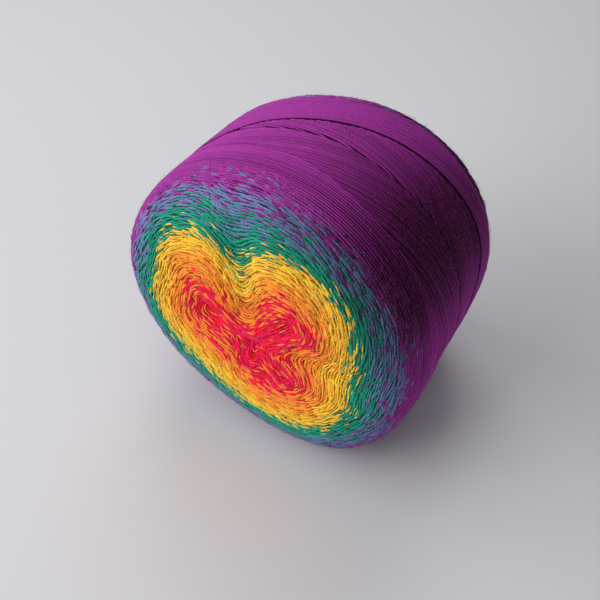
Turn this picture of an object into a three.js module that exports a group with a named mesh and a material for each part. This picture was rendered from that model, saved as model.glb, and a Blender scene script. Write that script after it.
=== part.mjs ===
// A cake of gradient cotton yarn: a short, fat roll wound by machine, lying on its side.
//
// The roll's axis runs along Y. Its lobed front face looks toward -Y, its plain back face toward +Y,
// and it rests on a small flat spot at Z = 0. Sizes are in millimetres.
//
// The form is one skin of rings. Each ring is a place on the roll's half outline, named by its
// distance along that outline from the middle of the front face. A ring is carried round the axis,
// made a little oval, and sunk where the front face has its valleys, slits and pits.

import * as THREE from "three";

// Driving dimensions of the wound form
const RADIUS = 55;
const FRONT_REACH = 49.7;
const BACK_REACH = 36.6;
const FRONT_CORNER = { side: 5.6, face: 5.2 };
const BACK_CORNER = { side: 5.5, face: 6.3 };

// How far the form strays from a true cylinder, as shares of the radius
const WIDENING_TO_FRONT = 0.083;
const OVAL = { across: 0.021, aslant: -0.013, threeSided: -0.027 };
const AXIS_LEAN = { sideways: -0.059, upward: 0.027 };
const BACK_WEDGE = { sideways: 0.134, upward: -0.054 };
const FRONT_RIM = 34;

// The underside runs level and is pressed flat where the roll rests
const PRESSED_DEPTH = 1.5;
const UNDERSIDE_SHARPNESS = 10;

// Troughs of the front face, in millimetres on the face laid flat: where the middle of the
// winding has closed up into three slits, and where the turns fold in between the lobes
const FACE_TROUGHS = [
  { name: "left slit", fromX: 2, fromZ: -2, toX: -15, toZ: 4, depth: 1.8, width: 5 },
  { name: "right slit", fromX: 2, fromZ: -2, toX: 16, toZ: 15, depth: 1.8, width: 5 },
  { name: "lower slit", fromX: 2, fromZ: -2, toX: 20, toZ: -12, depth: 1.8, width: 5 },
  { name: "left pit", fromX: -17, fromZ: 5.5, toX: -14, toZ: 3, depth: 2.4, width: 3.2 },
  { name: "right pit", fromX: 16.5, fromZ: 15.5, toX: 15, toZ: 14, depth: 2.2, width: 3 },
  { name: "upper fold", fromX: 1, fromZ: 12, toX: -5, toZ: 49, depth: 3.4, width: 8 },
  { name: "right fold", fromX: 20, fromZ: 5, toX: 41, toZ: 4, depth: 3.2, width: 7 },
];
const TROUGH_FADE = { radius: 60, sharpness: 4 };

// The back face is plain, with one shallow dimple
const BACK_DIMPLE = { depth: 2, width: 10 };

// Rings of the skin: how closely they stand along the outline, and the sides of each
const RING_SPACING = { face: 2.9, side: 6.2, back: 4.6 };
const FACE_EDGE = 64;
const SIDE_EDGE = 122;
const RING_SIDES = 88;
const INNER_RINGS = [
  { distance: 2.6, sides: 11 },
  { distance: 5.2, sides: 22 },
  { distance: 8.2, sides: 44 },
];
const OUTLINE_SAMPLES = 600;
const TINY = 1e-9;

// Half outline of the roll, from the middle of the front face round to the middle of the back.
// Each quarter is a rounded corner: |radius|^side + |reach|^face = 1.
function sampleOutline() {
  const samples = [];
  const addQuarter = (reach, corner, sign, from, to) => {
    for (let i = 0; i <= OUTLINE_SAMPLES; i += 1) {
      const turn = (from + ((to - from) * i) / OUTLINE_SAMPLES) * (Math.PI / 2);
      samples.push({
        radius: Math.max(Math.cos(turn), 0) ** (2 / corner.side),
        along: sign * reach * Math.sin(turn) ** (2 / corner.face),
      });
    }
  };
  addQuarter(FRONT_REACH / RADIUS, FRONT_CORNER, -1, 1, 0);
  addQuarter(BACK_REACH / RADIUS, BACK_CORNER, 1, 0, 1);
  let distance = 0;
  samples.forEach((sample, i) => {
    sample.radius *= 1 - WIDENING_TO_FRONT * sample.along;
    if (i > 0) {
      const before = samples[i - 1];
      distance += Math.hypot(sample.radius - before.radius, sample.along - before.along);
    }
    sample.distance = distance * RADIUS;
  });
  return samples;
}

const OUTLINE = sampleOutline();
const OUTLINE_LENGTH = OUTLINE[OUTLINE.length - 1].distance;

// Radius and place along the axis at a distance along the outline, with the outward direction
function outlineAt(distance) {
  const after = Math.max(OUTLINE.findIndex((sample) => sample.distance >= distance), 1);
  const a = OUTLINE[after - 1];
  const b = OUTLINE[after];
  const step = Math.max(b.distance - a.distance, TINY);
  const share = (distance - a.distance) / step;
  const direction = Math.hypot(b.radius - a.radius, b.along - a.along);
  return {
    radius: a.radius + (b.radius - a.radius) * share,
    along: a.along + (b.along - a.along) * share,
    outRadius: (b.along - a.along) / direction,
    outAlong: (a.radius - b.radius) / direction,
  };
}

function distanceToTrough(x, z, trough) {
  const runX = trough.toX - trough.fromX;
  const runZ = trough.toZ - trough.fromZ;
  const share = ((x - trough.fromX) * runX + (z - trough.fromZ) * runZ) / (runX ** 2 + runZ ** 2);
  const held = THREE.MathUtils.clamp(share, 0, 1);
  return Math.hypot(x - trough.fromX - runX * held, z - trough.fromZ - runZ * held);
}

// How deep the skin is sunk, at a distance along the outline and an angle round the axis
function sinkDepth(distance, angle) {
  const x = distance * Math.cos(angle);
  const z = distance * Math.sin(angle);
  const depths = FACE_TROUGHS.map((trough) => {
    const away = distanceToTrough(x, z, trough) / trough.width;
    return trough.depth * Math.exp(-(away ** 2));
  });
  const fade = Math.max(1 - (distance / TROUGH_FADE.radius) ** TROUGH_FADE.sharpness, 0);
  const fromBack = (OUTLINE_LENGTH - distance) / BACK_DIMPLE.width;
  return Math.hypot(...depths) * fade + BACK_DIMPLE.depth * Math.exp(-(fromBack ** 2));
}

// A point of the skin. The ring is oval and a little three-sided, the axis leans, the back runs
// out of square, and near the underside the lean and the widening die away.
function skinPoint(distance, angle) {
  const place = outlineAt(distance);
  const sink = sinkDepth(distance, angle) / RADIUS;
  const under = ((1 - Math.sin(angle)) / 2) ** UNDERSIDE_SHARPNESS;
  const radius = place.radius - sink * place.outRadius;
  const along = place.along - sink * place.outAlong;
  const widening = 1 - WIDENING_TO_FRONT * place.along;
  const level = 1 + (1 / widening - 1) * under;
  const oval = 1 + OVAL.across * Math.cos(2 * angle) + OVAL.aslant * Math.sin(2 * angle)
    + OVAL.threeSided * Math.cos(3 * angle);
  const x = radius * level * oval * Math.cos(angle);
  const z = radius * level * oval * Math.sin(angle);
  const behindRim = along + FRONT_RIM / RADIUS;
  const wedge = (BACK_WEDGE.sideways * x + BACK_WEDGE.upward * z) * Math.max(behindRim, 0);
  const lowest = -(1 - OVAL.across) + PRESSED_DEPTH / RADIUS;
  return new THREE.Vector3(
    x + AXIS_LEAN.sideways * behindRim,
    along + wedge,
    Math.max(z + AXIS_LEAN.upward * behindRim * (1 - under), lowest),
  ).multiplyScalar(RADIUS);
}

function ringPlaces() {
  const places = [...INNER_RINGS];
  const addRun = (to, spacing) => {
    const from = places[places.length - 1].distance;
    const count = Math.round((to - from) / spacing);
    for (let i = 1; i <= count; i += 1) {
      places.push({ distance: from + ((to - from) * i) / count, sides: RING_SIDES });
    }
  };
  addRun(FACE_EDGE, RING_SPACING.face);
  addRun(SIDE_EDGE, RING_SPACING.side);
  addRun(OUTLINE_LENGTH - INNER_RINGS[2].distance, RING_SPACING.back);
  places.pop();
  const closing = [...INNER_RINGS].reverse();
  closing.forEach((ring) => places.push({ ...ring, distance: OUTLINE_LENGTH - ring.distance }));
  return places;
}

// Triangles between two rings of equal sides, or where one has twice the sides of the other
function joinRings(triangles, front, back) {
  const sides = Math.max(front.sides, back.sides);
  for (let i = 0; i < sides; i += 1) {
    const frontStep = front.sides / sides;
    const backStep = back.sides / sides;
    const a = front.start + (Math.floor(i * frontStep) % front.sides);
    const b = front.start + (Math.floor((i + 1) * frontStep) % front.sides);
    const c = back.start + (Math.floor(i * backStep) % back.sides);
    const d = back.start + (Math.floor((i + 1) * backStep) % back.sides);
    if (a !== b) {
      triangles.push(a, c, b);
    }
    if (c !== d) {
      triangles.push(b, c, d);
    }
  }
}

function capRing(triangles, ring, pole, facesFront) {
  for (let i = 0; i < ring.sides; i += 1) {
    const a = ring.start + i;
    const b = ring.start + ((i + 1) % ring.sides);
    triangles.push(pole, facesFront ? a : b, facesFront ? b : a);
  }
}

function buildCake() {
  const points = [skinPoint(0, 0)];
  const rings = ringPlaces().map((place) => {
    const ring = { start: points.length, sides: place.sides };
    for (let i = 0; i < place.sides; i += 1) {
      points.push(skinPoint(place.distance, (i / place.sides) * 2 * Math.PI));
    }
    return ring;
  });
  points.push(skinPoint(OUTLINE_LENGTH, 0));
  const triangles = [];
  capRing(triangles, rings[0], 0, true);
  for (let i = 1; i < rings.length; i += 1) {
    joinRings(triangles, rings[i - 1], rings[i]);
  }
  capRing(triangles, rings[rings.length - 1], points.length - 1, false);

  const geometry = new THREE.BufferGeometry().setFromPoints(points);
  geometry.setIndex(triangles);
  geometry.computeBoundingBox();
  const box = geometry.boundingBox;
  const middle = box.getCenter(new THREE.Vector3());
  geometry.translate(-middle.x, -middle.y, -box.min.z);
  geometry.computeVertexNormals();
  return geometry;
}

const cottonYarn = new THREE.MeshStandardMaterial({
  color: 0x7d2483,
  roughness: 0.85,
  metalness: 0,
});

const cake = new THREE.Mesh(buildCake(), cottonYarn);
cake.name = "yarn_cake";

const part = new THREE.Group();
part.add(cake);

export default part;
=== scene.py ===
import math

import bpy
import numpy as np
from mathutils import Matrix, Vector


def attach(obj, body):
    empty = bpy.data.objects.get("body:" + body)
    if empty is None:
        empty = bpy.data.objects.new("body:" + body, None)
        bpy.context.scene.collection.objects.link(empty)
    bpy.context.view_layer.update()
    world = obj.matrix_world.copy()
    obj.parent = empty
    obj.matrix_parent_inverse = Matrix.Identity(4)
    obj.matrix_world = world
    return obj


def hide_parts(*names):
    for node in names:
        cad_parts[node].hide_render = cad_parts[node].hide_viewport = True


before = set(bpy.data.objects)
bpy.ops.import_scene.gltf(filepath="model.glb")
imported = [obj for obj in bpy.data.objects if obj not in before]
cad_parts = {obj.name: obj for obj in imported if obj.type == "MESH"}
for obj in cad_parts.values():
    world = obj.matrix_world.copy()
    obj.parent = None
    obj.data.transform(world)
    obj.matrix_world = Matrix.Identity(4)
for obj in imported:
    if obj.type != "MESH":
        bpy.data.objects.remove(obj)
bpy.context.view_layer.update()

bl_info = {
    "name": "Gradient cotton yarn cake",
    "version": (1, 0, 0),
    "blender": (4, 5, 0),
    "location": "3D View > Sidebar > Yarn",
    "description": "Dresses the wound form of a yarn cake with its turns of cotton thread",
    "category": "Add Mesh",
}

MM = 0.001
NODE = "yarn_cake"
BODY = "root"

# The wound form, as shares of its radius where no unit is given
FRONT_CORNER = {"side": 5.6, "face": 5.2}
BACK_CORNER = {"side": 5.5, "face": 6.3}
WIDENING_TO_FRONT = 0.083
OVAL = {"across": 0.021, "aslant": -0.013, "three_sided": -0.027}
AXIS_LEAN = {"sideways": -0.059, "upward": 0.027}
BACK_WEDGE = {"sideways": 0.134, "upward": -0.054}
FRONT_RIM = 34 * MM
PRESSED_DEPTH = 1.5 * MM
UNDERSIDE_SHARPNESS = 10
OUTLINE_SAMPLES = 601
BOX_SAMPLES = (400, 721)
# The step that a point is lifted by to find which way is out, with the floor out of the way
LIFT_STEP = 0.2 * MM
NO_FLOOR = -99 * MM
# Samples round the circle of a table by angle, and its smoothing in degrees
ROUND_SAMPLES = 720
ROUND_SMOOTHING = 5.0

# Troughs of the front face laid flat, in millimetres: (from, to, depth, width)
FACE_TROUGHS = {
    "left slit": ((2, -2), (-15, 4), 1.8, 5),
    "right slit": ((2, -2), (16, 15), 1.8, 5),
    "lower slit": ((2, -2), (20, -12), 1.8, 5),
    "left pit": ((-17, 5.5), (-14, 3), 2.4, 3.2),
    "right pit": ((16.5, 15.5), (15, 14), 2.2, 3),
    "upper fold": ((1, 12), (-5, 49), 3.4, 8),
    "right fold": ((20, 5), (41, 4), 3.2, 7),
}
TROUGH_FADE = {"radius": 60 * MM, "sharpness": 4}
BACK_DIMPLE = {"depth": 2 * MM, "width": 10 * MM}

# Each face's winding closes up into slits that meet at one middle, in millimetres on the face
# laid flat. The yarn's thickness from the slits out to its last colour, and how far its turns
# crowd together, go by direction in degrees. Those of the front were fitted to its colour rings.
FRONT_FACE = {
    "middle": (1.8, -2.1),
    "slits": ((-15.2, 4.8), (17.4, 15.3), (13.9, -10.5)),
    "thickness": {
        -160: 40.3, -135: 48.7, -115: 47.8, -90: 41.3, -65: 37.2, -35: 34.4, -5: 42.4, 15: 41.5,
        35: 38.7, 55: 37.1, 75: 42.6, 95: 49.8, 110: 54.3, 125: 50.4, 140: 43.7, 160: 34.8,
    },
    "crowding": {
        -160: -0.39, -135: 0.01, -115: -0.39, -90: -0.61, -65: -0.02, -35: 0.09, -5: -0.19,
        15: 0.15, 35: 0.0, 55: -0.42, 75: -0.43, 95: 0.07, 110: -0.32, 125: -0.37, 140: -0.47,
        160: -0.13,
    },
    "fold": {"from": (-3.9, 1.5), "to": (-4.2, 40.8), "share": 0.19, "width": 8.2, "fade": 52},
    "seed": 11,
}
BACK_FACE = {
    "middle": (0, 0),
    "slits": ((-9, 3), (10, -4)),
    "thickness": {-90: 46, 0: 41, 60: 43, 90: 45.5, 180: 42},
    "crowding": {0: -0.2},
    "fold": {"from": (0, 8), "to": (4, 36), "share": 0.06, "width": 8, "fade": 52},
    "seed": 23,
}
# How softly the slits join, the smoothing of those tables in degrees, and how far from the slits
# the fold reaches its strength
SLIT_SOFTNESS = 1.6 * MM
THICKNESS_BLEND = 7.0
FOLD_ONSET = 9 * MM
# How finely turns are traced: on rays from the middle of the face, the first turned back by the
# start in degrees, out to the reach, by so many halvings
TRACE = {"rays": 1440, "start": 110, "reach": 75 * MM, "halvings": 24, "samples": 1024}

# Where one colour of the yarn gives way to the next, as a share of the yarn's thickness
COLOUR_EDGES = (0.0, 0.27, 0.47, 0.645, 0.83, 1.06, 1.24)
COLOUR_STAGES = (-0.2, 0.5, 1.5, 2.5, 3.5, 4.5, 5.0)
STAGE_COUNT = 7
PURPLE_STAGE = 5
COLOUR_NAMES = ("crimson", "orange", "yellow", "green", "blue", "purple", "aubergine_and_shade")
# How far a thread's colour may run ahead of or behind its turn, in colours, by that share
MIXING = ((0.0, 0.4, 0.6, 0.72, 0.86, 1.04), (0.45, 0.45, 0.35, 0.40, 0.75, 0.60))
# A thread is this many strands, which change colour one at a time. A strand goes once round in
# the length of its twist, the fibres in theirs, and a thread's twist starts by its own shade.
STRANDS = 4
STRAND_TWIST = 8 * MM
STRAND_SHARPNESS = 1.7
FIBRE_TWIST = 1.5 * MM
TWIST_STAGGER = 91 * MM
ALMOST_ONE = 0.99
# How light the cotton is: a thread by its shade, fibres, blotches and twist, less a painted shade
# down its flanks and underside, deeper by colour, and the packed yarn by its fibres, with painted
# shade between the threads, lightest in the first colours as painted bounce light and darker from
# colour to colour
THREAD_VALUE = {"plain": 0.38, "shade": 0.36, "fibre": 0.72, "blotch": 0.25, "twist": 0.07}
PAINTED_FLANK_SHADE = {"top": 1.08, "plain": 0.42, "colour": 0.09}
PACKED_FIBRE_AND_SHADE = {"plain": 0.5, "fibre": 0.5, "first": 3.1, "colour": 0.54, "whole": 0.37}
# Speckle of the aubergine, which is partly a darker dye and partly painted shade
AUBERGINE_AND_SHADE_SPECKLE = {"fibre": 2.8, "start": 0.4}
FIBRE_NOISE = {"Scale": 1300.0, "Detail": 3.0, "Roughness": 0.65}
BLOTCH_NOISE = {"Scale": 330.0, "Detail": 1.0, "Roughness": 0.5}
HUE_DRIFT = 0.04
BUMP = {"Strength": 0.6, "Distance": 0.08 * MM}
TWIST_HEIGHT = 0.6
COTTON = {"Roughness": 0.8, "Specular IOR Level": 0.12, "Sheen Weight": 0.04,
          "Sheen Roughness": 0.5}

# Packed yarn under the threads, in millimetres: how deep it lies on the faces, how much deeper
# on the side, and where the side starts for it, as a distance from the middle of each face
PACKED = {
    "grid": (150, 240), "face_depth": 0.08, "side_extra": 0.47, "floor_gap": 0.02,
    "front_shoulder": 67, "back_shoulder": 59, "slope": 9,
}
# Strokes of thread on the faces. The first turn, the gap to the next one, the slant toward it
# and the stray aside are in pitches, height and dive in millimetres, length and radius in shares
# of their settings, and the longest half in shares of its turn. A pair is the two ends of a
# range, or for slant and height a mean and a spread.
MEAN_THICKNESS = 43 * MM
OUTERMOST_TURN = 1.26
INNER_PART = 0.62
STROKE_SECTIONS = 7
STROKE_SIDES = 5
TANGENT_STEP = 0.002
STROKES = {
    "first": 0.3, "gap": (0.7, 2.2), "fewest": 3, "unevenness": 0.18, "length": (0.7, 1.3),
    "longest_half": 0.16, "slant": (0.42, 0.26), "full_slant": 0.2, "least_slant": 0.3,
    "aside": 0.15, "height": (0.26, 0.10), "dive": -0.8, "radius": (0.86, 1.14), "taper": 0.4,
}
# How much painted shade darkens the strokes on the face away from the light, by the share of the
# thickness, and how strongly
STROKE_PAINTED_SHADE = ((0.6, 0.85, 1.0, 1.15), (0, 1, 1, 1.7))
STROKE_PAINTED_SHADE_STRENGTH = 1.4

# Edges of the side's bands of turns: angle round the axis in degrees, place along it as a
# share of the radius
BAND_EDGES = {
    "front band": {
        -150: -0.06, -100: -0.08, -60: -0.16, -20: -0.28, 20: -0.37, 47: -0.392, 58: -0.385,
        69: -0.355, 82: -0.315, 99: -0.255, 112: -0.205, 126: -0.144, 160: -0.07,
    },
    "rear band": {
        -150: -0.05, -100: -0.05, -60: -0.05, -20: -0.04, 20: -0.03, 47: -0.04, 60: -0.045,
        82: -0.016, 120: -0.014, 160: -0.04,
    },
    "last band": {
        -150: -0.08, -100: -0.08, -60: -0.02, -30: 0.06, -15: 0.14, -5: 0.22, 2: 0.27,
        12: 0.312, 29: 0.313, 44: 0.284, 62: 0.252, 74: 0.222, 88: 0.174, 103: 0.12,
        112: 0.098, 120: 0.06, 127: 0.01, 132: -0.04, 150: -0.1,
    },
}
# Where the side's turns come out from under the strokes of each face, as a distance from the
# middle of that face in millimetres, by the angle round the axis
SHOULDERS = {
    "front": {165: 52, 123: 61.5, 100: 58.5, 57: 62, 26: 60, -30: 57, -70: 48, -117: 54},
    "back": {165: 56, 90: 58, 0: 56, -90: 55},
}
# The furthest places along the axis that a turn of the side may take, in shares of the radius
FIRST_TURN = -0.80
LAST_TURN = 0.63
# Bands of the side's turns: each runs between two places along the axis and leans by an amount,
# or keeps the line of the last band's edge, at so many side pitches. The heights are in
# millimetres over the skin, the dives are the depths past the band's two limits, and the units
# are the lengths over which a turn dives, in metres at a shoulder and in shares of the radius at
# another band's edge.
BANDS = {
    "front band": {
        "from": -0.86, "to": 0.02, "lean": 0.05, "keeps_line": False, "height": 0.40,
        "dives": (-0.15, -1.0), "units": (3 * MM, 0.02), "pitches": 1.0, "seed": 3,
    },
    "crossing band": {
        "from": -0.68, "to": 0.26, "lean": -0.20, "keeps_line": False, "height": 0.05,
        "dives": (-1.0, -1.0), "units": (0.03, 0.02), "pitches": 1.0, "seed": 4,
    },
    "rear band": {
        "from": -0.32, "to": 0.46, "lean": 0.17, "keeps_line": False, "height": 0.40,
        "dives": (-1.0, -1.2), "units": (0.02, 0.02), "pitches": 1.0, "seed": 5,
    },
    "last band": {
        "from": 0.0, "to": 0.76, "lean": 0.0, "keeps_line": True, "height": 0.70,
        "dives": (-0.6, -0.15), "units": (0.02, 3 * MM), "pitches": 0.85, "seed": 6,
    },
}
# How far the purple runs into aubergine, by the angle round the axis in degrees: round the side this
# is partly a darker dye and partly painted shade away from the light, and on the face painted shade
# alone
AUBERGINE_AND_SHADE = {
    "front band": {-180: 0, 0: 0, 10: 0.15, 20: 0.75, 30: 1, 40: 0.9, 50: 0.75, 60: 0.38,
                   68: 0.05, 75: 0, 150: 0},
    "crossing band": {-180: 0, 0: 0.1, 10: 0.3, 20: 0.8, 30: 1, 42: 1, 50: 0.82, 60: 0.55,
                      70: 0.28, 80: 0.18, 88: 0.05, 95: 0, 150: 0},
    "rear band": {-180: 0, -8: 0, 0: 0.15, 10: 0.5, 20: 1, 38: 1, 45: 0.85, 52: 0.6,
                  60: 0.3, 70: 0.05, 78: 0, 150: 0},
    "last band": {-180: 0, 0: 0.1, 15: 0.55, 32: 0.66, 40: 0.6, 50: 0.25, 62: 0, 150: 0},
    "face": {-180: 0, -5: 0, 15: 0.6, 30: 1, 60: 1, 75: 0.5, 92: 0, 150: 0},
}
# The way that leaning turns lean, in degrees round the axis
LEAN_TOWARD = 55
RING_SECTIONS = 144
RING_SIDES = 5
# Gaps between bands, in shares of the radius. They follow the sine of the angle plus a turn.
GROOVE = {"turn": 40, "sine": (-1, 1), "gap": (0.004, 0.014)}
CROSSING_GAP = {"turn": -10, "sine": (0.3, 1), "gap": (0.012, -0.002)}
CROSSING_OVERLAP = 0.02
LAST_OVERLAP = 0.01
# Unevenness of the side's turns, with spacing in pitches and heights in millimetres, and how far
# each turn runs into the aubergine with its painted shade. A turn that nowhere rises over the
# lowest height is left out.
TURNS = {"spacing": 0.06, "height": 0.03, "lowest": -0.6, "radius": (0.94, 1.06), "aubergine_and_shade": 0.06}
WANDER = {"waves": (2, 5, 9, 17, 31), "fading": 0.4, "size": 0.0006}
# Loose fibres, with their lengths and heights in millimetres
FIBRES = {
    "seed": 31, "sections": 4, "sides": 3, "length": (1.2, 3.4), "bend": 0.25, "root": 0.45,
    "peak": (0.3, 0.9), "free_end": (-0.4, 0.8), "floor_gap": 0.02, "shade": (0.6, 1.0),
}

# The stage: the floor, the air and the lights, each with the setting that holds its power, its
# place and its width in metres
FLOOR_HALF = 3.0
FLOOR = {"Base Color": (0.66, 0.66, 0.68, 1), "Roughness": 0.42}
AIR = {"Color": (0.93, 0.93, 1.0, 1), "Strength": 0.19}
LIGHTS = {
    "left_light": ("key_power", (-0.58, -0.27, 0.40), 0.5),
    "front_light": ("front_power", (-0.38, -0.76, 0.62), 0.6),
    "back_light": ("back_power", (-0.62, 0.92, 1.16), 1.0),
    "top_light": ("top_power", (0, 0, 1.5), 1.0),
    "fill_light": ("fill_power", (0.85, -0.6, 0.6), 1.0),
}
LIGHTS_AIM = (0, 0, 0.05)


# Settings

def length_setting(name, description, millimetres):
    return bpy.props.FloatProperty(
        name=name, description=description, default=millimetres * MM, unit="LENGTH")


def angle_setting(name, description, degrees):
    return bpy.props.FloatProperty(
        name=name, description=description, default=math.radians(degrees), subtype="ANGLE")


def power_setting(name, description, watts):
    return bpy.props.FloatProperty(name=name, description=description, default=watts, unit="POWER")


def colour_setting(name, description, shares):
    return bpy.props.FloatVectorProperty(
        name=name, description=description, default=shares, subtype="COLOR", size=3)


class CakeForm(bpy.types.PropertyGroup):
    radius: length_setting("Radius", "Mean radius of the wound form", 55)
    front_reach: length_setting(
        "Front reach", "How far the front face stands from the widest turns", 49.7)
    back_reach: length_setting(
        "Back reach", "How far the back face stands from the widest turns", 36.6)


class YarnLook(bpy.types.PropertyGroup):
    side_pitch: length_setting(
        "Side pitch", "Distance between two threads that lie side by side", 0.98)
    side_radius: length_setting(
        "Side thread radius", "Radius of one stretched thread round the side", 0.37)
    face_pitch: length_setting(
        "Face pitch", "Distance between the strokes of two turns on a face", 0.82)
    stroke_radius: length_setting(
        "Stroke radius", "Radius of one stroke of thread on a face", 0.38)
    stroke_length: length_setting(
        "Stroke length", "Length of a thread between two dives on a face", 7.0)
    stroke_step: length_setting(
        "Stroke step", "Distance between strokes along one turn of a face", 4.0)
    fibre_count: bpy.props.IntProperty(
        name="Loose fibres", description="Number of loose fibres on the whole cake",
        default=5600, min=2,
    )
    fibre_radius: length_setting("Fibre radius", "Radius of one loose fibre", 0.022)
    crimson: colour_setting(
        "Crimson", "First colour of the yarn, in the middle", (0.92, 0.012, 0.075))
    orange: colour_setting("Orange", "Second colour of the yarn", (0.97, 0.30, 0.035))
    yellow: colour_setting("Yellow", "Third colour of the yarn", (0.97, 0.58, 0.045))
    green: colour_setting("Green", "Fourth colour of the yarn", (0.013, 0.32, 0.20))
    blue: colour_setting("Blue", "Fifth colour of the yarn", (0.15, 0.205, 0.40))
    purple: colour_setting(
        "Purple", "Last plain colour of the yarn, round the side", (0.34, 0.031, 0.30))
    # The aubergine is partly a darker dye and partly painted shade on the side turned from the light
    aubergine_and_shade: colour_setting(
        "Aubergine", "Darker shade that the purple runs into on one side", (0.058, 0.0042, 0.036))


class StudioLook(bpy.types.PropertyGroup):
    azimuth: angle_setting("Azimuth", "Turn of the camera round the cake", 34.3)
    elevation: angle_setting(
        "Elevation", "Height of the camera over the floor, as an angle", 46.4)
    distance: length_setting(
        "Distance", "Distance from the camera to the point it looks at", 377.4)
    lens: bpy.props.FloatProperty(
        name="Lens", description="Focal length of the camera, in millimetres of a full frame",
        default=62.3,
    )
    aim: bpy.props.FloatVectorProperty(
        name="Aim", description="The point that the camera looks at",
        default=(0.8 * MM, -11.45 * MM, 41.15 * MM), subtype="TRANSLATION", size=3,
    )
    key_power: power_setting("Left light", "Power of the light on the left", 2.3)
    front_power: power_setting("Front light", "Power of the light in front", 4.6)
    back_power: power_setting("Back light", "Power of the light behind", 6.6)
    top_power: power_setting("Top light", "Power of the light overhead", 2.4)
    fill_power: power_setting("Fill light", "Power of the light on the right", 1.3)


# The wound form as numbers

def sample_outline(form):
    """Half outline of the roll, from the middle of the front face to the middle of the back.

    Each quarter is a rounded corner, |radius|^side + |reach|^face = 1, and the radius grows
    toward the front. Distances are measured along the outline. All in shares of the radius."""
    turn = np.linspace(0, np.pi / 2, OUTLINE_SAMPLES)

    def quarter(reach, corner):
        radius = np.clip(np.cos(turn), 0, 1) ** (2 / corner["side"])
        return radius, reach / form.radius * np.sin(turn) ** (2 / corner["face"])

    front_radius, front_along = quarter(form.front_reach, FRONT_CORNER)
    back_radius, back_along = quarter(form.back_reach, BACK_CORNER)
    radius = np.concatenate([front_radius[::-1], back_radius[1:]])
    along = np.concatenate([-front_along[::-1], back_along[1:]])
    radius = radius * (1 - WIDENING_TO_FRONT * along)
    steps = np.hypot(np.diff(radius), np.diff(along))
    distance = np.concatenate([[0], np.cumsum(steps)])
    return {
        "distance": distance,
        "radius": radius,
        "along": along,
        "out_radius": np.gradient(along, distance),
        "out_along": -np.gradient(radius, distance),
        "length": distance[-1],
    }


def distance_to_line(x, z, start, end):
    """Distance from points to a straight line between two ends, with the ends round."""
    run_x, run_z = end[0] - start[0], end[1] - start[1]
    share = ((x - start[0]) * run_x + (z - start[1]) * run_z) / (run_x ** 2 + run_z ** 2)
    held = np.clip(share, 0, 1)
    return np.hypot(x - start[0] - run_x * held, z - start[1] - run_z * held)


def in_metres(point):
    return point[0] * MM, point[1] * MM


class WoundForm:
    """The skin of the roll. A place on it is a distance along the half outline, in metres from
    the middle of the front face, and an angle round the axis."""

    def __init__(self, form):
        self.size = form.radius
        self.outline = sample_outline(form)
        self.length = self.outline["length"] * self.size
        self.shift = np.zeros(3)
        distance, angle = np.meshgrid(
            np.linspace(0, self.length, BOX_SAMPLES[0]),
            np.linspace(0, 2 * np.pi, BOX_SAMPLES[1]), indexing="ij",
        )
        skin = self.place(distance, angle, 0.0)
        low, high = skin.reshape(-1, 3).min(0), skin.reshape(-1, 3).max(0)
        self.shift = np.array([-(low[0] + high[0]) / 2, -(low[1] + high[1]) / 2, -low[2]])

    def sink(self, distance, angle):
        """How deep the skin is sunk: each trough is a bell curve of the distance to its line,
        troughs join as the root of the sum of their squares, and they fade at the rim."""
        x, z = distance * np.cos(angle), distance * np.sin(angle)
        total = np.zeros_like(x)
        for start, end, depth, width in FACE_TROUGHS.values():
            away = distance_to_line(x, z, in_metres(start), in_metres(end)) / (width * MM)
            total = total + (depth * MM * np.exp(-away ** 2)) ** 2
        fade = 1 - (distance / TROUGH_FADE["radius"]) ** TROUGH_FADE["sharpness"]
        from_back = (self.length - distance) / BACK_DIMPLE["width"]
        dimple = BACK_DIMPLE["depth"] * np.exp(-from_back ** 2)
        return np.sqrt(total) * np.clip(fade, 0, 1) + dimple

    def place(self, distance, angle, lift, floor_gap=0.0):
        """Points at a height over the skin. The ring is oval and a little three-sided, the axis
        leans, the back runs out of square, and the underside is level and pressed flat."""
        share = distance / self.size
        line = self.outline
        along = np.interp(share, line["distance"], line["along"])
        rise = (lift - self.sink(distance, angle)) / self.size
        radius = np.interp(share, line["distance"], line["radius"])
        widening = 1 - WIDENING_TO_FRONT * along
        radius = radius + rise * np.interp(share, line["distance"], line["out_radius"])
        along = along + rise * np.interp(share, line["distance"], line["out_along"])
        under = ((1 - np.sin(angle)) / 2) ** UNDERSIDE_SHARPNESS
        level = 1 + (1 / widening - 1) * under
        oval = (
            1 + OVAL["across"] * np.cos(2 * angle) + OVAL["aslant"] * np.sin(2 * angle)
            + OVAL["three_sided"] * np.cos(3 * angle)
        )
        x = radius * level * oval * np.cos(angle)
        z = radius * level * oval * np.sin(angle)
        behind_rim = along + FRONT_RIM / self.size
        wedge = BACK_WEDGE["sideways"] * x + BACK_WEDGE["upward"] * z
        lowest = -(1 - OVAL["across"]) + (PRESSED_DEPTH + floor_gap) / self.size
        points = np.stack([
            x + AXIS_LEAN["sideways"] * behind_rim,
            along + wedge * np.maximum(behind_rim, 0),
            np.maximum(z + AXIS_LEAN["upward"] * behind_rim * (1 - under), lowest),
        ], axis=-1)
        return points * self.size + self.shift

    def distance_at(self, along):
        """Distance along the outline where the skin reaches a place along the axis."""
        return np.interp(along, self.outline["along"], self.outline["distance"]) * self.size


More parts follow.
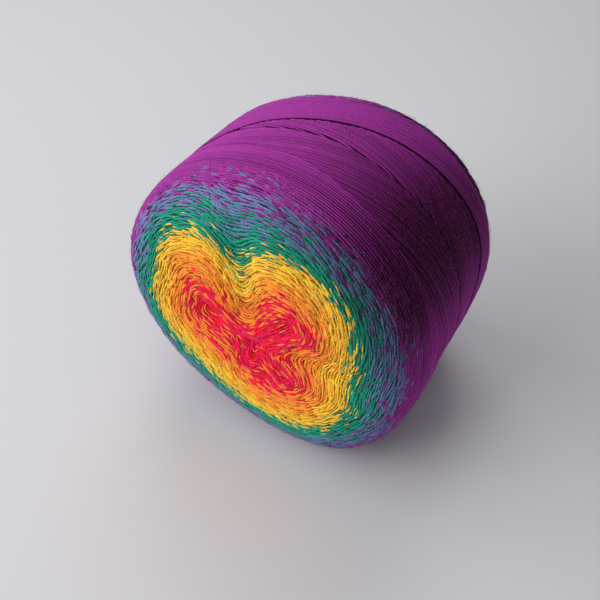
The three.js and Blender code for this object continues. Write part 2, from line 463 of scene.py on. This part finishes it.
def round_table(table, smooth_degrees=ROUND_SMOOTHING):
    """A function of the angle from a table of degrees and values, closed round the circle and
    smoothed by a bell curve, which is a product with another bell curve in the spectrum."""
    degrees = np.array(sorted(table), float)
    values = np.array([table[key] for key in sorted(table)], float)
    dense = np.arange(ROUND_SAMPLES) * 360 / ROUND_SAMPLES
    spectrum = np.fft.rfft(np.interp(dense, degrees, values, period=360))
    wave = np.arange(len(spectrum))
    bell = np.exp(-(wave * math.radians(smooth_degrees)) ** 2 / 2)
    smooth = np.fft.irfft(spectrum * bell, ROUND_SAMPLES)

    def read(angle):
        return np.interp(np.degrees(angle), dense, smooth, period=360)

    return read


class FaceWinding:
    """The turns of one face, on the face laid flat round the end of the axis.

    A turn is a curve of equal share: its distance to the closed-up slits over the thickness of
    the yarn in that direction, p, times 1 + crowding (1 - p), which crowds the turns inward or
    outward. The slits' distances join by a soft minimum."""

    def __init__(self, face):
        self.face = face
        self.middle = in_metres(face["middle"])
        self.thickness = round_table(face["thickness"], THICKNESS_BLEND)
        self.crowding = round_table(face["crowding"], THICKNESS_BLEND)

    def share(self, x, z):
        """Share of the yarn's thickness at points of the flat face: 0 in the slits, 1 at the
        last colour's edge. A fold draws the outer turns inward along its line."""
        total = np.zeros_like(x)
        for end in self.face["slits"]:
            away = distance_to_line(x, z, self.middle, in_metres(end))
            total = total + np.exp(-away / SLIT_SOFTNESS)
        spare = SLIT_SOFTNESS * math.log(len(self.face["slits"]))
        away = np.maximum(spare - SLIT_SOFTNESS * np.log(total), 0)
        direction = np.arctan2(z - self.middle[1], x - self.middle[0])
        fold = self.face["fold"]
        aside = distance_to_line(x, z, in_metres(fold["from"]), in_metres(fold["to"]))
        out = np.clip(np.hypot(x, z) / (fold["fade"] * MM), 0, 1)
        drawn = fold["share"] * np.exp(-(aside / (fold["width"] * MM)) ** 2) * (1 - out ** 2)
        drawn = drawn * np.clip(away / FOLD_ONSET, 0, 1)
        plain = away / (self.thickness(direction) * MM)
        return plain * (1 + self.crowding(direction) * (1 - plain)) + drawn

    def trace(self, shares):
        """Turns of given shares as closed curves with evenly spaced samples. Along each ray from
        the middle the share grows outward, so its place is found by halving, all at once."""
        rays = np.linspace(0, 2 * np.pi, TRACE["rays"] + 1) - math.radians(TRACE["start"])
        near = np.zeros((len(shares), len(rays)))
        far = np.full_like(near, TRACE["reach"])
        for _ in range(TRACE["halvings"]):
            reach = (near + far) / 2
            x = self.middle[0] + reach * np.cos(rays)
            z = self.middle[1] + reach * np.sin(rays)
            inside = self.share(x, z) < shares[:, None]
            near = np.where(inside, reach, near)
            far = np.where(inside, far, reach)
        x = self.middle[0] + near * np.cos(rays)
        z = self.middle[1] + near * np.sin(rays)
        steps = np.hypot(np.diff(x, axis=1), np.diff(z, axis=1))
        run = np.concatenate([np.zeros((len(shares), 1)), np.cumsum(steps, axis=1)], axis=1)
        even = np.linspace(0, 1, TRACE["samples"] + 1)
        curves = np.empty((len(shares), TRACE["samples"] + 1, 2))
        for i, length in enumerate(run[:, -1]):
            curves[i, :, 0] = np.interp(even * length, run[i], x[i])
            curves[i, :, 1] = np.interp(even * length, run[i], z[i])
        return curves, run[:, -1]


# Threads as meshes

def tube_faces(count, sections, sides, closed):
    """Faces of many tubes at once: quads between sections, and a fan at each end of an open tube,
    round the two points that follow its sections.

    With them come the tube, section and side of every corner, which count on past the last one
    where a ring closes, so that values along and round a thread have no seam."""
    per_tube = sections * sides + (0 if closed else 2)
    tube, row, side = np.indices((count, sections if closed else sections - 1, sides))
    tubes = np.stack([tube] * 4, axis=-1).reshape(-1, 4)
    rows = np.stack([row, row, row + 1, row + 1], axis=-1).reshape(-1, 4)
    turns = np.stack([side, side + 1, side + 1, side], axis=-1).reshape(-1, 4)
    quads = tubes * per_tube + rows % sections * sides + turns % sides
    if closed:
        fans = np.empty((0, 3), int)
        return quads, fans, (tubes.reshape(-1), rows.reshape(-1), turns.reshape(-1))
    tube, side = np.indices((count, sides))
    pole, last = sections * sides, (sections - 1) * sides
    after = (side + 1) % sides
    start = np.stack([pole + 0 * side, after, side], axis=-1)
    end = np.stack([pole + 1 + 0 * side, last + side, last + after], axis=-1)
    fans = np.concatenate([start + tube[..., None] * per_tube, end + tube[..., None] * per_tube])
    ends = np.repeat([0, sections - 1], count * sides * 3)
    start_turns = np.stack([side + 0.5, side + 1, side], axis=-1)
    end_turns = np.stack([side + 0.5, side, side + 1], axis=-1)
    corners = (
        np.concatenate([tubes.reshape(-1), np.tile(np.repeat(tube.reshape(-1), 3), 2)]),
        np.concatenate([rows.reshape(-1), ends]),
        np.concatenate([turns.reshape(-1), start_turns.reshape(-1), end_turns.reshape(-1)]),
    )
    return quads, fans.reshape(-1, 3), corners


def unit(vectors):
    return vectors / np.maximum(np.linalg.norm(vectors, axis=-1, keepdims=True), 1e-12)


def thread_mesh(name, centres, outward, radii, sides, stage, shade, closed=False):
    """Threads as tubes: round a path of centres, each section is a ring in the plane of the
    outward direction and the direction across the thread. Open ends close in a point."""
    count, sections = centres.shape[:2]
    if closed:
        along = unit(np.roll(centres, -1, axis=1) - np.roll(centres, 1, axis=1))
        path = np.concatenate([centres, centres[:, :1]], axis=1)
    else:
        along = unit(np.gradient(centres, axis=1))
        path = centres
    across = unit(np.cross(along, outward))
    upward = np.cross(across, along)
    turn = np.arange(sides) / sides * 2 * np.pi
    ring = (
        across[:, :, None, :] * np.cos(turn)[:, None] + upward[:, :, None, :] * np.sin(turn)[:, None]
    )
    points = (centres[:, :, None, :] + ring * radii[:, :, None, None]).reshape(count, -1, 3)
    if not closed:
        points = np.concatenate([points, centres[:, [0, -1]]], axis=1)
    quads, fans, (tube_of, section_of, side_of) = tube_faces(count, sections, sides, closed)
    steps = np.linalg.norm(np.diff(path, axis=1), axis=2)
    run = np.concatenate([np.zeros((count, 1)), np.cumsum(steps, axis=1)], axis=1)
    run = run + (shade * TWIST_STAGGER)[:, None]
    mesh = mesh_from_arrays(name, points.reshape(-1, 3), quads, fans)
    add_values(mesh, "run", run[tube_of, section_of], "CORNER")
    add_values(mesh, "turn", side_of * (2 * np.pi / sides), "CORNER")
    add_values(mesh, "stage", np.repeat(stage, points.size // 3 // stage.size))
    add_values(mesh, "shade", np.repeat(shade, points.shape[1]))
    return mesh


def mesh_from_arrays(name, points, quads, triangles):
    """Puts arrays of points and of four- and three-cornered faces into a mesh."""
    mesh = bpy.data.meshes.new(name)
    corner_index = np.concatenate([quads.reshape(-1), triangles.reshape(-1)])
    sizes = np.concatenate([np.full(len(quads), 4), np.full(len(triangles), 3)])
    starts = np.concatenate([[0], np.cumsum(sizes)[:-1]])
    mesh.vertices.add(len(points))
    mesh.vertices.foreach_set("co", points.astype(np.float32).reshape(-1))
    mesh.loops.add(len(corner_index))
    mesh.loops.foreach_set("vertex_index", corner_index.astype(np.int32))
    mesh.polygons.add(len(sizes))
    mesh.polygons.foreach_set("loop_start", starts.astype(np.int32))
    mesh.polygons.foreach_set("loop_total", sizes.astype(np.int32))
    mesh.update(calc_edges=True)
    mesh.validate()
    mesh.polygons.foreach_set("use_smooth", np.ones(len(sizes), bool))
    return mesh


def add_values(mesh, name, values, domain="POINT"):
    layer = mesh.attributes.new(name, "FLOAT", domain)
    layer.data.foreach_set("value", values.astype(np.float32))


def outward_of(form, distance, angle, lift):
    """Outward direction of the skin, as the way a point moves when it is lifted."""
    return unit(form.place(distance, angle, lift + LIFT_STEP, NO_FLOOR)
                - form.place(distance, angle, lift, NO_FLOOR))


def stage_at(share):
    return np.interp(share, COLOUR_EDGES, COLOUR_STAGES)


def stroke_heights(position, height, dive):
    """Height of a stroke over the skin: it stands level in its middle and dives at both ends,
    as one minus the fourth power of the place along it, from -1 to 1."""
    return height + (dive - height) * position ** 4


def along_turns(curves, level, place):
    """Points on closed turns at shares of their length, from evenly spaced samples."""
    samples = curves.shape[1] - 1
    column = (place % 1.0) * samples
    left = np.minimum(np.floor(column).astype(int), samples - 1)
    part = (column - left)[..., None]
    row = level[:, None]
    return curves[row, left] * (1 - part) + curves[row, left + 1] * part


def stroke_places(winding, curves, lengths, look, random):
    """Where the strokes stand: the number of a turn and a share of its length for each.

    The distance to the next turn is the step in share over the slope of the share, so a turn
    gets as many strokes as its length times that distance asks for, all at once by cumulative
    sums. Returns level, place and the distance to the next turn in pitches."""
    middle = (curves[:, 1:] + curves[:, :-1]) / 2
    x, z = middle[..., 0], middle[..., 1]
    step = 0.3 * MM
    slope = np.hypot(winding.share(x + step, z) - winding.share(x - step, z),
                     winding.share(x, z + step) - winding.share(x, z - step)) / (2 * step)
    gap = np.clip(1 / (slope * MEAN_THICKNESS), *STROKES["gap"])
    run = np.concatenate([np.zeros((len(gap), 1)), np.cumsum(gap, axis=1)], axis=1)
    samples = gap.shape[1]
    counts = np.round(run[:, -1] / samples * lengths / look.stroke_step)
    counts = np.maximum(counts, STROKES["fewest"]).astype(int)
    level = np.repeat(np.arange(len(counts)), counts)
    order = np.concatenate([np.arange(count) for count in counts])
    stagger = random.random(len(counts))[level]
    uneven = random.normal(0, STROKES["unevenness"], len(level))
    wanted = (order + stagger + uneven) / counts[level] % 1.0
    even = np.linspace(0, 1, samples + 1)
    place = np.concatenate([
        np.interp(wanted[level == i], run[i] / run[i, -1], even) for i in range(len(counts))])
    column = np.minimum((place * samples).astype(int), samples - 1)
    return level, place, gap[level, column]


def face_strokes(form, winding, look, from_back):
    """Threads of a face as short strokes. Each follows its turn, crosses a little toward the
    next one, rises out of the winding and dives again, and thins toward its ends by the sixth
    power of the place along it."""
    random = np.random.default_rng(winding.face["seed"])
    spread = look.face_pitch / MEAN_THICKNESS
    shares = np.arange(STROKES["first"] * spread, OUTERMOST_TURN, spread)
    curves, lengths = winding.trace(shares)
    level, centre, gap = stroke_places(winding, curves, lengths, look, random)
    total = len(level)
    half = look.stroke_length / 2 * random.uniform(*STROKES["length"], total)
    half = np.minimum(half, lengths[level] * STROKES["longest_half"]) / lengths[level]
    position = np.linspace(-1, 1, STROKE_SECTIONS)
    place = centre[:, None] + half[:, None] * position
    flat = along_turns(curves, level, place)
    ahead = (along_turns(curves, level, place + TANGENT_STEP)
             - along_turns(curves, level, place - TANGENT_STEP))
    sideways = unit(np.stack([ahead[..., 1], -ahead[..., 0]], axis=-1))
    slanting = np.clip(shares[level] / STROKES["full_slant"], STROKES["least_slant"], 1)
    slant = random.normal(*STROKES["slant"], total) * slanting
    aside = random.normal(0, STROKES["aside"], total)
    aside = aside + random.uniform(-0.5, 0.5, total) * np.maximum(gap - 1, 0)
    offset = (aside[:, None] + slant[:, None] * position) * look.face_pitch
    flat = flat + sideways * offset[..., None]
    distance = np.hypot(flat[..., 0], flat[..., 1])
    angle = np.arctan2(flat[..., 1], flat[..., 0])
    if from_back:
        distance = form.length - distance
    height = random.normal(*STROKES["height"], total)[:, None] * MM
    lift = stroke_heights(position, height, STROKES["dive"] * MM)
    centres = form.place(distance, angle, lift, look.stroke_radius)
    outward = outward_of(form, distance, angle, lift)
    radii = look.stroke_radius * random.uniform(*STROKES["radius"], total)[:, None]
    radii = radii * (1 - STROKES["taper"] * position ** 6)
    mixing = np.interp(shares[level], *MIXING)
    stage = stage_at(shares[level]) + random.uniform(-1, 1, total) * mixing
    stage = np.clip(stage, 0, PURPLE_STAGE)
    # Painted shade: strokes on the side of the face turned from the light are made darker through
    # their shade
    darkness = round_table(AUBERGINE_AND_SHADE["face"])(angle[:, STROKE_SECTIONS // 2])
    darkness = darkness * np.interp(shares[level], *STROKE_PAINTED_SHADE)
    return {"share": shares[level], "centres": centres, "outward": outward, "radii": radii,
            "stage": stage, "shade": random.random(total) - STROKE_PAINTED_SHADE_STRENGTH * darkness}


def form_and_look(context):
    return WoundForm(context.scene.cake_form), context.scene.yarn_look


def make_piece(context, mesh, material):
    piece = bpy.data.objects.new(mesh.name, mesh)
    context.scene.collection.objects.link(piece)
    mesh.materials.append(material)
    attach(piece, BODY)
    return piece


def wind_face(context, face, from_back, names):
    """Makes the pieces of one face, the first of its inner turns and the second of its outer."""
    form, look = form_and_look(context)
    strokes = face_strokes(form, FaceWinding(face), look, from_back)
    inner = strokes["share"] < INNER_PART
    for name, keep in zip(names, (inner, ~inner)):
        mesh = thread_mesh(
            name, strokes["centres"][keep], strokes["outward"][keep], strokes["radii"][keep],
            STROKE_SIDES, strokes["stage"][keep], strokes["shade"][keep],
        )
        make_piece(context, mesh, thread_material(look))


def slow_wander(random, count, angle):
    """A gentle wander of each thread round the roll: a sum of a few waves with random phases and
    sizes, smaller for the shorter waves."""
    total = np.zeros((count, angle.shape[-1]))
    for wave in WANDER["waves"]:
        phase = random.uniform(0, 2 * np.pi, (count, 1))
        size = random.normal(0, 1, (count, 1))
        total = total + np.sin(angle * wave + phase) * size / wave ** WANDER["fading"]
    return total * WANDER["size"]


def dive(inside, top, depth):
    """Height of a thread near the limit of its band: level inside, and past the limit it goes
    down along a smooth step, 3s^2 - 2s^3."""
    share = np.clip(inside + 0.5, 0, 1)
    return depth + (top - depth) * share * share * (3 - 2 * share)


class ShaderLine:
    """A socket with arithmetic: an expression on sockets adds the Math nodes that work it out."""

    def __init__(self, tree, socket):
        self.tree = tree
        self.socket = socket

    def math(self, operation, *others):
        sockets = [other.socket if isinstance(other, ShaderLine) else other for other in others]
        return add_node(self.tree, "ShaderNodeMath", {"operation": operation},
                        [self.socket, *sockets])

    def __add__(self, other):
        return self.math("ADD", other)

    __radd__ = __add__

    def __mul__(self, other):
        return self.math("MULTIPLY", other)

    __rmul__ = __mul__

    def __sub__(self, other):
        return self.math("SUBTRACT", other)

    def __rsub__(self, other):
        return (self * -1.0) + other

    def __truediv__(self, other):
        return self.math("DIVIDE", other)


def add_node(tree, kind, settings, inputs, output=0):
    """Adds a node: its settings first, then its sockets by number or name, as values or links."""
    node = tree.nodes.new(kind)
    for key, value in settings.items():
        if key == "stops":
            fill_ramp(node.color_ramp, value)
        else:
            setattr(node, key, value)
    pairs = inputs.items() if isinstance(inputs, dict) else enumerate(inputs)
    for key, value in pairs:
        if isinstance(value, ShaderLine):
            value = value.socket
        if isinstance(value, bpy.types.NodeSocket):
            tree.links.new(value, node.inputs[key])
        else:
            node.inputs[key].default_value = value
    return None if output is None else ShaderLine(tree, node.outputs[output])


def fill_ramp(ramp, stops):
    while len(ramp.elements) < len(stops):
        ramp.elements.new(1.0)
    for element, (position, colour) in zip(ramp.elements, stops):
        element.position = position
        element.color = (*colour, 1.0)


def read_values(tree, name):
    return add_node(tree, "ShaderNodeAttribute", {"attribute_name": name}, [], "Fac")


def strand_stage(stage, turn, run, fibre):
    """Whole stage of the strand that shows. Strands lie side by side round the thread and turn
    with its twist. Between two colours each strand changes over at its own quarter, so the stage
    is the whole part of the thread's stage, steepened about its half, plus the strand's place.
    Past purple the thread darkens evenly into aubergine, partly a darker dye and partly painted
    shade away from the light, speckled by its fibres."""
    place = (turn / (2 * math.pi) + run / STRAND_TWIST).math("FRACT")
    strand = ((place * STRANDS).math("FLOOR") + 0.5) / STRANDS
    whole = stage.math("FLOOR")
    part = ((stage - whole - 0.5) * STRAND_SHARPNESS + 0.5).math("MINIMUM", ALMOST_ONE)
    stepped = (whole + part.math("MAXIMUM", 0.0) + strand).math("FLOOR")
    # Past purple: the aubergine, partly a darker dye and partly painted shade, speckled by the
    # fibres
    speckle = fibre * AUBERGINE_AND_SHADE_SPECKLE["fibre"] - AUBERGINE_AND_SHADE_SPECKLE["start"]
    darker = (stage - PURPLE_STAGE).math("MAXIMUM", 0.0) * speckle
    return stepped.math("MINIMUM", PURPLE_STAGE) + darker


def cotton_material(name, look, with_twist):
    """Soft matt cotton: the colour goes by the thread's stage of the gradient, and where strands
    show, by strand. It is a little lighter or darker by thread and by fibre, with the twist of
    the fibres as a fine bump, and painted shade darkens a thread's flanks and underside, by the
    sine of the angle round it, while its top is painted a little lighter. Packed yarn has no
    twist, and is darker as painted shade between the threads, most of all in its last colours,
    while its first colours are painted lighter as bounce light."""
    material = bpy.data.materials.new(name)
    material.use_nodes = True
    tree = material.node_tree
    tree.nodes.clear()
    stage = read_values(tree, "stage")
    place = add_node(tree, "ShaderNodeTexCoord", {}, [], "Object")
    fibre, blotch = [add_node(tree, "ShaderNodeTexNoise", {}, {"Vector": place, **noise})
                     for noise in (FIBRE_NOISE, BLOTCH_NOISE)]
    if with_twist:
        shade, run, turn = [read_values(tree, values) for values in ("shade", "run", "turn")]
        twist = (turn * 2.0 + run * (2 * math.pi / FIBRE_TWIST)).math("SINE")
        value = (
            THREAD_VALUE["plain"] + shade * THREAD_VALUE["shade"] + fibre * THREAD_VALUE["fibre"]
            + blotch * THREAD_VALUE["blotch"] + twist * THREAD_VALUE["twist"]
        )
        # Painted shade: a thread is darker down its flanks and underside and a little lighter on
        # top, more so in the later colours
        flank = 0.5 - turn.math("SINE") * 0.5
        painted_flank_shade = flank * (PAINTED_FLANK_SHADE["plain"] + stage * PAINTED_FLANK_SHADE["colour"])
        value = value * (PAINTED_FLANK_SHADE["top"] - painted_flank_shade)
        height = twist * TWIST_HEIGHT + fibre
        stage = strand_stage(stage, turn, run, fibre)
    else:
        # Painted shade between the threads: the packed yarn is darker, least in the first colours as
        # painted bounce light and most in the last; its fibres vary it
        value = fibre * PACKED_FIBRE_AND_SHADE["fibre"] + PACKED_FIBRE_AND_SHADE["plain"]
        value = value * (PACKED_FIBRE_AND_SHADE["first"] - stage * PACKED_FIBRE_AND_SHADE["colour"])
        value = value * PACKED_FIBRE_AND_SHADE["whole"]
        height = fibre
    last = STAGE_COUNT - 1
    stops = [(i / last, tuple(getattr(look, colour))) for i, colour in enumerate(COLOUR_NAMES)]
    ramp = add_node(tree, "ShaderNodeValToRGB", {"stops": stops}, [stage / last], "Color")
    hue = 0.5 + (blotch - 0.5) * HUE_DRIFT
    colour = add_node(tree, "ShaderNodeHueSaturation", {},
                      {"Hue": hue, "Value": value, "Color": ramp}, "Color")
    bump = add_node(tree, "ShaderNodeBump", {}, {**BUMP, "Height": height}, "Normal")
    shader = add_node(tree, "ShaderNodeBsdfPrincipled", {},
                      {"Base Color": colour, "Normal": bump, **COTTON}, "BSDF")
    add_node(tree, "ShaderNodeOutputMaterial", {}, {"Surface": shader}, None)
    return material


def thread_material(look):
    return bpy.data.materials.get("cotton_thread") or cotton_material("cotton_thread", look, True)


class YARN_OT_wound_body(bpy.types.Operator):
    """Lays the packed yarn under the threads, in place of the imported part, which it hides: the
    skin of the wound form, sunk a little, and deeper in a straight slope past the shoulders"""
    bl_idname = "yarn.wound_body"
    bl_label = "Wound body"

    def execute(self, context):
        form, look = form_and_look(context)
        rows, columns = PACKED["grid"]
        distance = np.linspace(0, form.length, rows + 2)[1:-1]
        angle = np.arange(columns) / columns * 2 * np.pi
        distance, angle = np.meshgrid(distance, angle, indexing="ij")
        rest = form.length - distance
        past_shoulder = np.minimum(distance - PACKED["front_shoulder"] * MM,
                                   rest - PACKED["back_shoulder"] * MM)
        onto_side = np.clip(past_shoulder / (PACKED["slope"] * MM), 0, 1)
        depth = (PACKED["face_depth"] + PACKED["side_extra"] * onto_side) * MM
        skin = form.place(distance, angle, -depth, PACKED["floor_gap"] * MM)
        poles = form.place(np.array([0.0, form.length]), np.zeros(2), -PACKED["face_depth"] * MM)
        points = np.concatenate([skin.reshape(-1, 3), poles])
        quads, fans, _ = tube_faces(1, rows, columns, False)
        mesh = mesh_from_arrays("wound_body", points, quads[:, [0, 3, 2, 1]], fans[:, [0, 2, 1]])
        front, back = FaceWinding(FRONT_FACE), FaceWinding(BACK_FACE)
        front_share = front.share(distance * np.cos(angle), distance * np.sin(angle))
        back_share = back.share(rest * np.cos(angle), rest * np.sin(angle))
        stage = stage_at(np.minimum(front_share, back_share)).reshape(-1)
        add_values(mesh, "stage", np.concatenate([np.clip(stage, 0, PURPLE_STAGE), [0, 0]]))
        piece = make_piece(context, mesh, cotton_material("packed_cotton", look, False))
        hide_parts(NODE)
        return {"FINISHED"}


class YARN_OT_front_face(bpy.types.Operator):
    """Winds the strokes of thread that fold round the three lobes of the front face"""
    bl_idname = "yarn.front_face"
    bl_label = "Front face turns"

    def execute(self, context):
        wind_face(context, FRONT_FACE, False, ("front_face_inner_turns", "front_face_outer_turns"))
        return {"FINISHED"}


class YARN_OT_back_face(bpy.types.Operator):
    """Winds the strokes of thread of the plain back face"""
    bl_idname = "yarn.back_face"
    bl_label = "Back face turns"

    def execute(self, context):
        wind_face(context, BACK_FACE, True, ("back_face_inner_turns", "back_face_outer_turns"))
        return {"FINISHED"}


class YARN_OT_side_bands(bpy.types.Operator):
    """Winds the long turns round the side, in bands that lie over one another"""
    bl_idname = "yarn.side_bands"
    bl_label = "Side bands"

    def execute(self, context):
        form, look = form_and_look(context)
        angle = np.arange(RING_SECTIONS) / RING_SECTIONS * 2 * np.pi
        edges = {name: round_table(table)(angle) for name, table in BAND_EDGES.items()}
        front_limit = round_table(SHOULDERS["front"])(angle) * MM
        back_limit = form.length - round_table(SHOULDERS["back"])(angle) * MM
        groove, crossing_gap = [
            np.interp(np.sin(angle + math.radians(gap["turn"])), gap["sine"], gap["gap"])
            for gap in (GROOVE, CROSSING_GAP)]
        for name, band in BANDS.items():
            random = np.random.default_rng(band["seed"])
            along = self.turns(form, look, band, angle, edges["last band"], random)
            distance = form.distance_at(along)
            limits = {
                "front band": (distance - front_limit, edges["front band"] - along),
                "crossing band": (along - edges["front band"] + CROSSING_OVERLAP,
                                  edges["rear band"] + crossing_gap - along),
                "rear band": (along - edges["rear band"], edges["last band"] - groove - along),
                "last band": (along - edges["last band"] + LAST_OVERLAP, back_limit - distance),
            }[name]
            lift = np.full_like(along, band["height"] * MM)
            for limit, depth, unit_length in zip(limits, band["dives"], band["units"]):
                lift = np.minimum(lift, dive(limit / unit_length, band["height"] * MM, depth * MM))
            keep = (lift > TURNS["lowest"] * MM).any(axis=1)
            lift = lift + random.normal(0, TURNS["height"] * MM, (len(along), 1))
            self.add_rings(context, form, look, name, along[keep], angle, lift[keep], random)
        return {"FINISHED"}

    def turns(self, form, look, band, angle, last_edge, random):
        """Places along the axis of a band's turns: rings whose plane leans by a sine of the
        angle, or that keep the line of the last band's edge, each with a little wander."""
        pitch = look.side_pitch * band["pitches"] / form.size
        start = np.arange(band["from"], band["to"], pitch)[:, None]
        start = start + random.normal(0, TURNS["spacing"] * pitch, start.shape)
        lean = band["lean"] * np.sin(angle - math.radians(LEAN_TOWARD))
        line = last_edge if band["keeps_line"] else lean
        along = start + line + slow_wander(random, len(start), angle)
        return np.clip(along, FIRST_TURN, LAST_TURN)

    def add_rings(self, context, form, look, name, along, angle, lift, random):
        """Makes one band's piece: closed rings at their places along the axis and heights."""
        angles = np.broadcast_to(angle, along.shape)
        distance = form.distance_at(along)
        radius = look.side_radius
        centres = form.place(distance, angles, lift, radius)
        outward = outward_of(form, distance, angles, lift)
        count = len(along)
        radii = radius * random.uniform(*TURNS["radius"], count)[:, None] * np.ones_like(angle)
        # Purple runs into aubergine by the angle round the axis: partly a darker dye, partly painted
        # shade on the side turned from the light
        darkness = round_table(AUBERGINE_AND_SHADE[name])(angles)
        darkness = darkness + random.normal(0, TURNS["aubergine_and_shade"], (count, 1))
        stage = PURPLE_STAGE + np.clip(darkness, 0, 1)
        mesh = thread_mesh("side_" + name.replace(" ", "_"), centres, outward, radii, RING_SIDES,
                           stage, random.random(count), closed=True)
        make_piece(context, mesh, thread_material(look))


class YARN_OT_loose_fibres(bpy.types.Operator):
    """Scatters the short loose fibres that stand off the cotton"""
    bl_idname = "yarn.loose_fibres"
    bl_label = "Loose fibres"

    def execute(self, context):
        form, look = form_and_look(context)
        random = np.random.default_rng(FIBRES["seed"])
        sets = [self.fibres(form, FaceWinding(face), look.fibre_count // 2, random, from_back)
                for face, from_back in ((FRONT_FACE, False), (BACK_FACE, True))]
        centres, outward, stage = (np.concatenate(parts) for parts in zip(*sets))
        radii = np.full(centres.shape[:2], look.fibre_radius)
        mesh = thread_mesh("loose_fibres", centres, outward, radii, FIBRES["sides"], stage,
                           random.uniform(*FIBRES["shade"], len(stage)))
        make_piece(context, mesh, thread_material(look))
        return {"FINISHED"}

    def fibres(self, form, winding, count, random, from_back):
        """Short bowed hairs with both ends in the yarn or one end free, spread evenly by area:
        the distance from the pole follows the running sum of the outline's radius. A hair stands
        in a parabola over its length, and its free end rises by the square of the place."""
        line = form.outline
        half = line["distance"] <= line["length"] / 2
        spread = np.cumsum(line["radius"][half]) / line["radius"][half].sum()
        reach = np.interp(random.random(count), spread, line["distance"][half]) * form.size
        angle = random.uniform(0, 2 * np.pi, count)
        heading = random.uniform(0, 2 * np.pi, (count, 1))
        length = random.uniform(*FIBRES["length"], (count, 1)) * MM
        bend = random.normal(0, FIBRES["bend"], (count, 1))
        position = np.linspace(0, 1, FIBRES["sections"])
        run, aside = length * position, length * bend * position ** 2
        x = (reach * np.cos(angle))[:, None] + run * np.cos(heading) - aside * np.sin(heading)
        z = (reach * np.sin(angle))[:, None] + run * np.sin(heading) + aside * np.cos(heading)
        distance, turn = np.hypot(x, z), np.arctan2(z, x)
        peak = random.uniform(*FIBRES["peak"], (count, 1)) * MM
        free_end = random.uniform(*FIBRES["free_end"], (count, 1)) * MM
        bow = peak * 4 * position * (1 - position)
        lift = FIBRES["root"] * MM + bow + free_end * position ** 2
        stage = np.clip(np.round(stage_at(winding.share(x[:, 0], z[:, 0]))), 0, PURPLE_STAGE)
        if from_back:
            distance = form.length - distance
        centres = form.place(distance, turn, lift, FIBRES["floor_gap"] * MM)
        return centres, outward_of(form, distance, turn, lift), stage


class YARN_OT_stage(bpy.types.Operator):
    """Sets the floor, the soft lights and the camera"""
    bl_idname = "yarn.stage"
    bl_label = "Stage"

    def execute(self, context):
        studio = context.scene.studio_look
        self.add_floor(context)
        self.add_lights(context, studio)
        self.add_camera(context, studio)
        return {"FINISHED"}

    def add_floor(self, context):
        half = FLOOR_HALF
        mesh = bpy.data.meshes.new("floor")
        mesh.from_pydata([(-half, -half, 0), (half, -half, 0), (half, half, 0), (-half, half, 0)],
                         [], [(0, 1, 2, 3)])
        floor = bpy.data.objects.new("floor", mesh)
        context.scene.collection.objects.link(floor)
        material = bpy.data.materials.new("pale_floor")
        material.use_nodes = True
        shader = material.node_tree.nodes["Principled BSDF"]
        for name, value in FLOOR.items():
            shader.inputs[name].default_value = value
        mesh.materials.append(material)

    def add_lights(self, context, studio):
        world = bpy.data.worlds.new("studio_air")
        world.use_nodes = True
        for name, value in AIR.items():
            world.node_tree.nodes["Background"].inputs[name].default_value = value
        context.scene.world = world
        for name, (setting, place, size) in LIGHTS.items():
            self.add_area(context, name, place, size, getattr(studio, setting))
        context.scene.view_settings.view_transform = "Standard"

    def add_area(self, context, name, place, size, power):
        light = bpy.data.lights.new(name, "AREA")
        light.size = size
        light.energy = power
        lamp = bpy.data.objects.new(name, light)
        lamp.location = place
        aim = Vector(LIGHTS_AIM) - Vector(place)
        lamp.rotation_euler = aim.to_track_quat("-Z", "Y").to_euler()
        context.scene.collection.objects.link(lamp)

    def add_camera(self, context, studio):
        camera = bpy.data.cameras.new("view_camera")
        camera.lens = studio.lens
        camera.sensor_width = 36
        camera.clip_start = 0.01
        holder = bpy.data.objects.new("view_camera", camera)
        flat = math.cos(studio.elevation)
        back = Vector((math.sin(studio.azimuth) * flat, -math.cos(studio.azimuth) * flat,
                       math.sin(studio.elevation)))
        holder.location = Vector(studio.aim) + back * studio.distance
        holder.rotation_euler = (math.pi / 2 - studio.elevation, 0, studio.azimuth)
        context.scene.collection.objects.link(holder)
        context.scene.camera = holder


class YARN_PT_panel(bpy.types.Panel):
    """Lists the steps that dress the yarn cake"""
    bl_idname = "YARN_PT_panel"
    bl_label = "Yarn cake"
    bl_space_type = "VIEW_3D"
    bl_region_type = "UI"
    bl_category = "Yarn"

    def draw(self, context):
        for operator in OPERATORS:
            self.layout.operator(operator.bl_idname)
        for group in ("cake_form", "yarn_look", "studio_look"):
            settings = getattr(context.scene, group)
            for name in settings.__annotations__:
                self.layout.prop(settings, name)


OPERATORS = (YARN_OT_wound_body, YARN_OT_front_face, YARN_OT_back_face, YARN_OT_side_bands,
             YARN_OT_loose_fibres, YARN_OT_stage)
GROUPS = {"cake_form": CakeForm, "yarn_look": YarnLook, "studio_look": StudioLook}
CLASSES = (*GROUPS.values(), *OPERATORS, YARN_PT_panel)


def register():
    for entry in CLASSES:
        bpy.utils.register_class(entry)
    for name, group in GROUPS.items():
        setattr(bpy.types.Scene, name, bpy.props.PointerProperty(type=group))


def unregister():
    for name in GROUPS:
        delattr(bpy.types.Scene, name)
    for entry in reversed(CLASSES):
        bpy.utils.unregister_class(entry)


def main():
    register()
    bpy.ops.yarn.wound_body()
    bpy.ops.yarn.front_face()
    bpy.ops.yarn.back_face()
    bpy.ops.yarn.side_bands()
    bpy.ops.yarn.loose_fibres()
    bpy.ops.yarn.stage()


if __name__ == "__main__":
    main()
